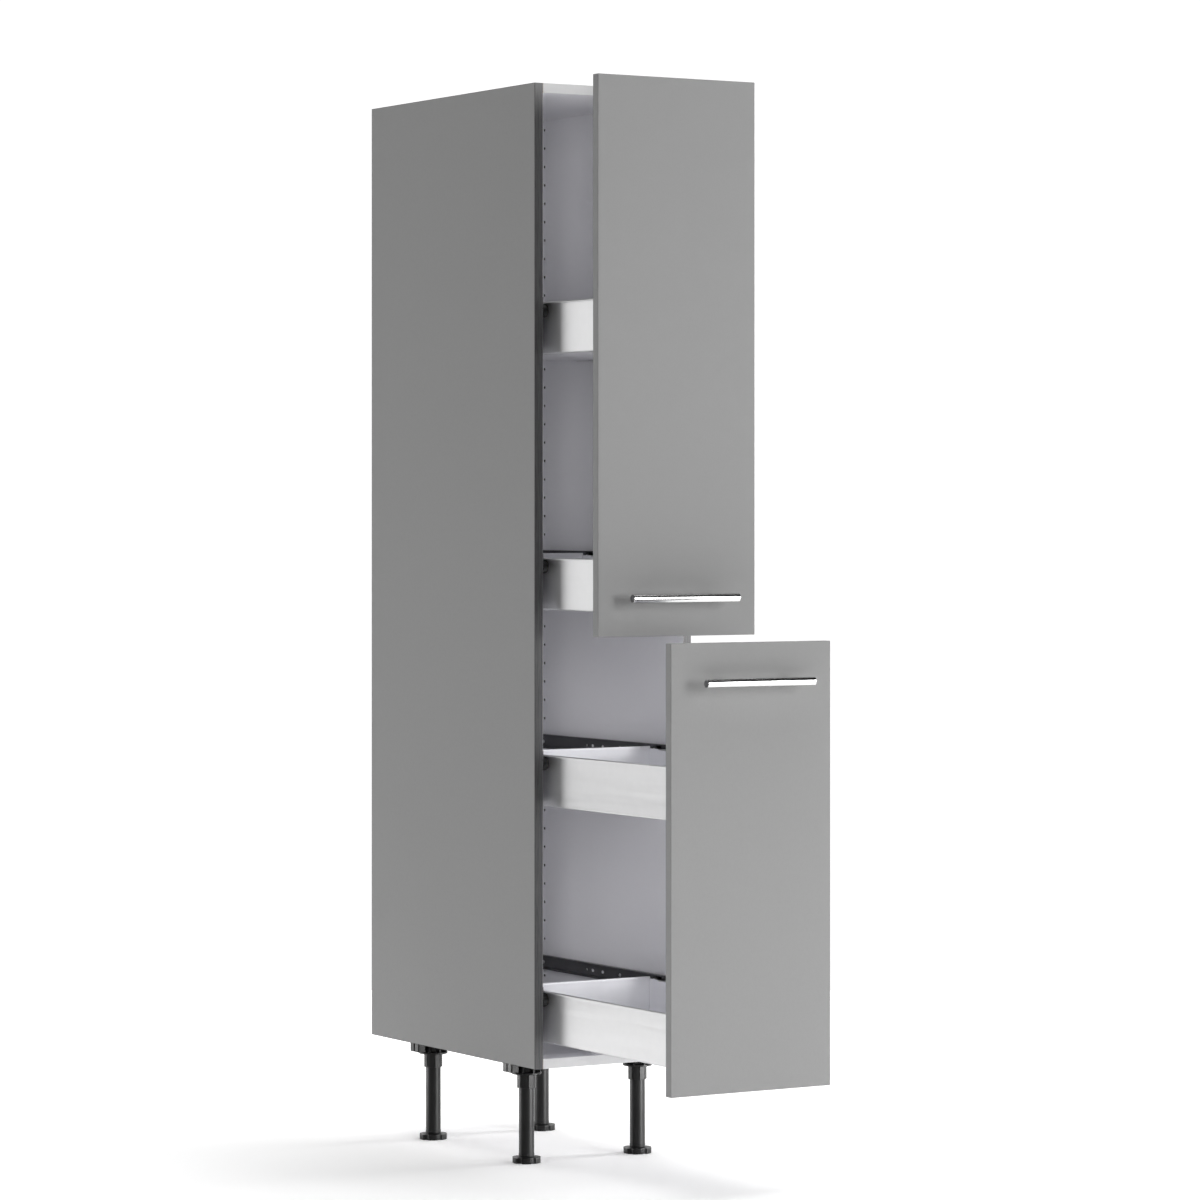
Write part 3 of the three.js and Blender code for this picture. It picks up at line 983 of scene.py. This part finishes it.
def handle(name):
    """A round bar with turned ends on two posts, and the screw heads behind the front."""
    node, body = f"handle_{name}", f"pullout_{name}"
    a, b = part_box(node)
    radius = (b.z - a.z) / 2
    centre = (0, a.y + radius, (a.z + b.z) / 2)
    bm = bmesh.new()
    wall = 1.3 * MM
    bar = [(radius - wall, a.x + 1 * MM), (radius - wall, a.x), (radius - 0.4 * MM, a.x)]
    bar += [(radius, a.x + 0.4 * MM), (radius, b.x - 0.4 * MM)]
    bar += [(radius - 0.4 * MM, b.x), (radius - wall, b.x), (radius - wall, b.x - 1 * MM)]
    turned(bm, bar, "x", (0, centre[1], centre[2]), count=64)
    for end, inward in ((a.x, 1), (b.x, -1)):
        plug = [(radius - wall - 0.1 * MM, end + inward * 2.5 * MM)]
        plug += [(radius - wall - 0.1 * MM, end + inward * 0.7 * MM)]
        plug += [(radius - wall - 0.6 * MM, end + inward * 0.35 * MM), (1.5 * MM, end + inward * 0.25 * MM)]
        turned(bm, plug, "x", (0, centre[1], centre[2]), count=48, material=2)
    post = HANDLE_POST_RADIUS
    for x in HANDLE_POSTS:
        profile = [(post, centre[1] + 1 * MM), (post, b.y - 2.6 * MM), (post + 0.25 * MM, b.y - 1.2 * MM)]
        profile += [(post + 0.9 * MM, b.y - 0.5 * MM), (post + 0.9 * MM, b.y)]
        turned(bm, profile, "y", (x, 0, centre[2]), count=36, material=1)
    materials = (HANDLE_BAR_STEEL, HANDLE_POST_STEEL, CAM_PLASTIC)
    skin(node, bm, body, materials)

    screws = bmesh.new()
    for x in HANDLE_POSTS:
        screw_head(screws, (x, high(f"front_{name}").y, centre[2]), "y", 1, radius=4 * MM)
    piece(node + "_screws", screws, body, (ZINC,))


# ---------------------------------------------------------------- the cabinet
side_panel("left")
inside_pieces = [
    side_panel("right"),
    cross_board("top_board", 1),
    cross_board("bottom_board", -1),
    back_panel(),
]
foot_pieces = []
for foot_place, foot_side in FEET:
    foot_pieces += foot(foot_place, foot_side)
for tray_number in FRONT_OF_TRAY:
    runner(tray_number, "left")
    tray_side(tray_number, "left")
    inside_pieces += [
        runner(tray_number, "right"),
        tray_side(tray_number, "right"),
        tray_pan(tray_number),
    ]
for pull_out in ("upper", "lower"):
    front_panel(pull_out)
    handle(pull_out)


# ---------------------------------------------------------------- studio
VIEW_ANGLE = radians(31.08)  # of the camera, round to the left from straight in front
CAMERA_PLACE = (-3.738, -6.158, 1.0785)  # from the middle of the carcass front, in metres


def camera():
    data = bpy.data.cameras.new("camera")
    data.lens = 131.94
    data.sensor_width = 36.0
    data.shift_y = -0.0778
    data.clip_end = 100.0
    obj = bpy.data.objects.new("camera", data)
    bpy.context.scene.collection.objects.link(obj)
    obj.location = Vector(CAMERA_PLACE) + Vector((0, CARCASS_FRONT, 0))
    obj.rotation_euler = (radians(90), 0, -VIEW_ANGLE)
    bpy.context.scene.camera = obj


def soft_box(name, azimuth, distance, height, size, power, towards=(0, 0, 0.9)):
    """A rectangular light. Azimuth is in degrees from straight in front, positive to the right."""
    data = bpy.data.lights.new(name, "AREA")
    data.shape = "RECTANGLE"
    data.size, data.size_y = size
    data.energy = power
    obj = bpy.data.objects.new(name, data)
    bpy.context.scene.collection.objects.link(obj)
    angle = radians(azimuth)
    obj.location = (distance * sin(angle), -distance * cos(angle), height)
    obj.rotation_euler = (Vector(towards) - obj.location).to_track_quat("-Z", "Y").to_euler()
    return obj


def light_only(light, pieces):
    """Makes the light fall on these pieces and nothing else."""
    lit = bpy.data.collections.new("lit_by_" + light.name)
    for lit_piece in pieces:
        lit.objects.link(lit_piece)
    light.light_linking.receiver_collection = lit


FLOOR_REACH = 2.6  # metres from the middle to the floor's edge
BACKDROP_DISTANCE = 5.0  # behind the cabinet


def studio(lit_inside, feet):
    # a round pale floor that glows more towards its edge, so that it runs into the white around it
    floor = bmesh.new()
    bmesh.ops.create_circle(floor, cap_ends=True, cap_tris=True, segments=96, radius=FLOOR_REACH)
    paper = Shader("floor_paper", Roughness=0.9)
    paper.shader.inputs["Base Color"].default_value = (0.92, 0.92, 0.92, 1.0)
    paper.shader.inputs["Emission Color"].default_value = (1.0, 1.0, 1.0, 1.0)
    distance = paper.tree.nodes.new("ShaderNodeVectorMath")
    distance.operation = "LENGTH"
    paper.link(paper.coordinates, distance.inputs[0])
    glow_rise = paper.spread(distance.outputs["Value"], 0.12, 1.0, 0.25, FLOOR_REACH)
    paper.link(glow_rise, paper.shader.inputs["Emission Strength"])
    stage_piece("floor", floor, paper.material)

    # a white wall that glows softly on the cabinet from behind, and the white all around
    glow = emitter("backdrop_glow", 1.07)
    wall = bmesh.new()
    facing = Matrix.Rotation(-VIEW_ANGLE, 4, "Z") @ Matrix.Rotation(radians(90), 4, "X")
    bmesh.ops.create_grid(wall, x_segments=4, y_segments=4, size=BACKDROP_DISTANCE, matrix=facing)
    backdrop = stage_piece("backdrop", wall, glow)
    behind = Vector((sin(VIEW_ANGLE), cos(VIEW_ANGLE), 0)) * BACKDROP_DISTANCE
    backdrop.location = behind + Vector((0, 0, 2.0))
    backdrop.visible_camera = False
    dome = bmesh.new()
    bmesh.ops.create_icosphere(dome, subdivisions=4, radius=30.0)
    surround = stage_piece("surround", dome, glow)
    surround.visible_diffuse = False
    surround.visible_glossy = False
    surround.visible_transmission = False
    surround.visible_shadow = False

    world = bpy.data.worlds.new("studio")
    world.use_nodes = True
    world.node_tree.nodes["Background"].inputs["Color"].default_value = (1, 1, 1, 1)
    world.node_tree.nodes["Background"].inputs["Strength"].default_value = 0.0
    bpy.context.scene.world = world
    soft_box("key", 30, 5.0, 1.6, (1.4, 3.0), 88)
    soft_box("key_side", 45, 5.0, 1.6, (1.4, 3.0), 15)
    soft_box("right", 85, 5.0, 1.6, (1.4, 3.0), 220)
    soft_box("left", -130, 5.0, 1.6, (2.0, 3.0), 19)
    soft_box("back_left", -150, 5.0, 1.4, (2.4, 2.8), 21)
    soft_box("top", 0, 0.01, 4.5, (4.0, 4.0), 154, towards=(0, 0, 0))
    # the carcass is pale inside but narrow, so one light helps only the pieces in there
    inside = soft_box("inside", -31, 6.0, 1.3, (1.4, 3.0), 150)
    light_only(inside, lit_inside)
    # two low lights draw the long highlights on the black feet
    feet_middle = (0, 0, 0.08)
    light_only(soft_box("feet_right", 38, 1.6, 0.32, (0.9, 0.6), 85, feet_middle), feet)
    light_only(soft_box("feet_left", -137, 1.6, 0.32, (0.5, 0.6), 26, feet_middle), feet)
    bpy.context.scene.view_settings.view_transform = "Standard"


def emitter(name, strength):
    glow = bpy.data.materials.new(name)
    glow.use_nodes = True
    glow.node_tree.nodes.clear()
    emission = glow.node_tree.nodes.new("ShaderNodeEmission")
    emission.inputs["Strength"].default_value = strength
    output = glow.node_tree.nodes.new("ShaderNodeOutputMaterial")
    glow.node_tree.links.new(emission.outputs["Emission"], output.inputs["Surface"])
    return glow


def stage_piece(name, bm, material):
    mesh = bpy.data.meshes.new(name)
    bm.to_mesh(mesh)
    bm.free()
    mesh.materials.append(material)
    obj = bpy.data.objects.new(name, mesh)
    bpy.context.scene.collection.objects.link(obj)
    return obj


camera()
studio(inside_pieces, foot_pieces)
